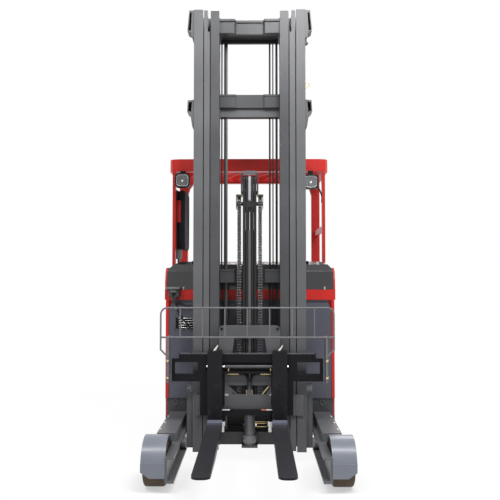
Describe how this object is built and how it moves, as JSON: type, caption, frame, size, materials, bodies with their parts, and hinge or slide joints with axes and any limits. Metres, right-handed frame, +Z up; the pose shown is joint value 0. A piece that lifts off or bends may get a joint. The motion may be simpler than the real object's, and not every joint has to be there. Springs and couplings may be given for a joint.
{
  "type": "reach truck",
  "caption": "Electric reach truck with a triplex mast on a moving carriage, adjustable forks, straddle legs and an overhead guard over a side-facing seat.",
  "frame": {"origin": "centre of the bounding box's base, on the ground with the forks' tips as the front and the rear cover as the back", "axes": "+Z up, forks toward -Y, +X to the right seen from the forks' end"},
  "size_m": [1.29, 2.51, 3.19],
  "materials": {
    "polyurethane": "satin",
    "drive_tread": "matte",
    "red_paint": "gloss",
    "black_plastic": "satin",
    "black_seat": "matte",
    "battery_steel": "satin",
    "dark_grey_paint": "gloss",
    "mast_grey_paint": "satin",
    "black_paint": "satin",
    "bare_steel": "satin",
    "chrome_rod": "polished",
    "chain_steel": "oiled",
    "hose_rubber": "satin",
    "lamp_black": "satin"
  },
  "bodies": {
    "chassis": {"battery": "battery_steel", "battery_connector": "hose_rubber", "chassis_deck": "dark_grey_paint", "console": "black_plastic", "cowl": "black_plastic", "floor_plate": "black_plastic", "front_band": "red_paint", "front_panel": "dark_grey_paint", "lamp_left": "lamp_black", "lamp_right": "lamp_black", "leg_left": "dark_grey_paint", "leg_right": "dark_grey_paint", "overhead_guard": "red_paint", "reach_cylinder": "black_paint", "rear_cover": "red_paint", "seat_back": "black_seat", "seat_base": "black_plastic", "seat_cushion": "black_seat", "side_panel_left": "red_paint", "side_panel_right": "red_paint", "steering_wheel": "black_plastic", "wheel_guard_left": "dark_grey_paint", "wheel_guard_right": "dark_grey_paint"},
    "load_wheel_right": {"load_wheel_right": "polyurethane"},
    "load_wheel_left": {"load_wheel_left": "polyurethane"},
    "drive_unit": {"drive_yoke": "black_paint"},
    "drive_wheel": {"drive_wheel": "drive_tread"},
    "reach_carriage": {"reach_frame": "mast_grey_paint", "reach_roller_right_front": "bare_steel", "reach_roller_right_rear": "bare_steel", "reach_roller_left_front": "bare_steel", "reach_roller_left_rear": "bare_steel", "reach_rod": "chrome_rod", "outer_mast": "mast_grey_paint", "lift_cylinder_left": "black_paint", "lift_cylinder_right": "black_paint"},
    "middle_stage": {"middle_mast": "mast_grey_paint", "lift_rod_left": "chrome_rod", "lift_rod_right": "chrome_rod", "mast_lines": "hose_rubber"},
    "inner_stage": {"inner_mast": "mast_grey_paint", "free_lift_cylinder": "mast_grey_paint"},
    "crosshead": {"free_lift_rod": "chrome_rod", "chain_sheave_left": "bare_steel", "chain_sheave_right": "bare_steel", "lift_chain_left": "chain_steel", "lift_chain_right": "chain_steel", "mast_hoses": "hose_rubber"},
    "fork_lift_bracket": {"lift_bracket": "mast_grey_paint", "mast_roller_1_left": "bare_steel", "mast_roller_1_right": "bare_steel", "mast_roller_2_left": "bare_steel", "mast_roller_2_right": "bare_steel"},
    "tilting_plate": {"tilt_plate": "black_paint", "side_shift_cylinder": "black_paint"},
    "shifting_frame": {"shift_frame": "black_paint", "backrest": "black_paint"},
    "fork_a": {"fork_right": "black_paint"},
    "fork_b": {"fork_left": "black_paint"}
  },
  "joints": [
    {"name": "load_wheel_right_spin", "type": "hinge", "parent": "chassis", "child": "load_wheel_right", "pos_m": [0.575, -0.53, 0.1425], "axis": [1, 0, 0], "continuous": true},
    {"name": "load_wheel_left_spin", "type": "hinge", "parent": "chassis", "child": "load_wheel_left", "pos_m": [-0.575, -0.53, 0.1425], "axis": [1, 0, 0], "continuous": true},
    {"name": "drive_steer", "type": "hinge", "parent": "chassis", "child": "drive_unit", "pos_m": [-0.2, 1.04, 0.1715], "axis": [0, 0, 1], "range_deg": [-90, 90]},
    {"name": "drive_wheel_spin", "type": "hinge", "parent": "drive_unit", "child": "drive_wheel", "pos_m": [-0.2, 1.04, 0.1715], "axis": [1, 0, 0], "continuous": true},
    {"name": "reach", "type": "slide", "parent": "chassis", "child": "reach_carriage", "axis": [0, -1, 0], "range_m": [0, 0.55]},
    {"name": "mast_lift", "type": "slide", "parent": "reach_carriage", "child": "middle_stage", "axis": [0, 0, 1], "range_m": [0, 2.4]},
    {"name": "inner_lift", "type": "slide", "parent": "middle_stage", "child": "inner_stage", "axis": [0, 0, 1], "range_m": [0, 2.4]},
    {"name": "carriage_lift", "type": "slide", "parent": "inner_stage", "child": "fork_lift_bracket", "axis": [0, 0, 1], "range_m": [-0.22, 1.9]},
    {"name": "crosshead_lift", "type": "slide", "parent": "inner_stage", "child": "crosshead", "axis": [0, 0, 1], "range_m": [-0.11, 0.95]},
    {"name": "fork_tilt", "type": "hinge", "parent": "fork_lift_bracket", "child": "tilting_plate", "pos_m": [0, -0.11, 0.7], "axis": [-1, 0, 0], "range_deg": [-1, 3]},
    {"name": "side_shift", "type": "slide", "parent": "tilting_plate", "child": "shifting_frame", "axis": [1, 0, 0], "range_m": [-0.06, 0.09]},
    {"name": "fork_right_slide", "type": "slide", "parent": "shifting_frame", "child": "fork_a", "axis": [1, 0, 0], "range_m": [-0.11, 0.07]},
    {"name": "fork_left_slide", "type": "slide", "parent": "shifting_frame", "child": "fork_b", "axis": [-1, 0, 0], "range_m": [-0.11, 0.07]}
  ],
  "couplings": [
    {"joint": "inner_lift", "follows": "mast_lift", "ratio": 1},
    {"joint": "crosshead_lift", "follows": "carriage_lift", "ratio": 0.5}
  ]
}
